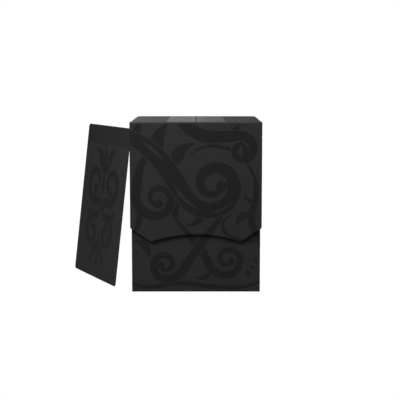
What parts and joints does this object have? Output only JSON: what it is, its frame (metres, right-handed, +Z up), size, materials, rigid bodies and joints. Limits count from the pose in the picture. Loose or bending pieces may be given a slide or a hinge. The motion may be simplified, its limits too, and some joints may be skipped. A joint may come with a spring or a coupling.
{
  "type": "card deck box",
  "caption": "Upright plastic deck box folded from thin sheet, with a hinged wrap-over lid with an arched front edge, and a loose divider card.",
  "frame": {"origin": "centre of the box's underside, on the surface that it stands on", "axes": "+Z up, -Y out of the front with the arched lid edge, +X to the right as seen from the front"},
  "size_m": [0.112, 0.0787, 0.0945],
  "materials": {
    "sheet": "fine sand-textured polypropylene sheet, near black",
    "crease": "smooth pressed polypropylene, near black, slightly shinier than the sheet",
    "card": "fine sand-textured polypropylene card, near black"
  },
  "bodies": {
    "tray": {"tray_left_wall": "sheet", "tray_right_wall": "sheet", "tray_front_wall": "sheet", "tray_back_wall": "sheet", "floor_outer_flap": "sheet", "floor_left_dust_flap": "sheet", "floor_right_dust_flap": "sheet", "floor_inner_panel": "sheet", "tray_seam_tab": "sheet", "living_hinge": "crease"},
    "lid": {"lid_top": "sheet", "lid_front_flap": "sheet", "lid_left_wing": "sheet", "lid_right_wing": "sheet", "lid_left_weld_tab": "sheet", "lid_right_weld_tab": "sheet"},
    "divider_card": {"divider": "card"}
  },
  "joints": [
    {"name": "lid_hinge", "type": "hinge", "parent": "tray", "child": "lid", "pos_m": [0, 0.0363, 0.0945], "axis": [-1, 0, 0], "range_deg": [0, 255]},
    {"name": "divider_lift", "type": "slide", "parent": "tray", "child": "divider_card", "axis": [0, 0, 1], "range_m": [0, 0.1]}
  ]
}
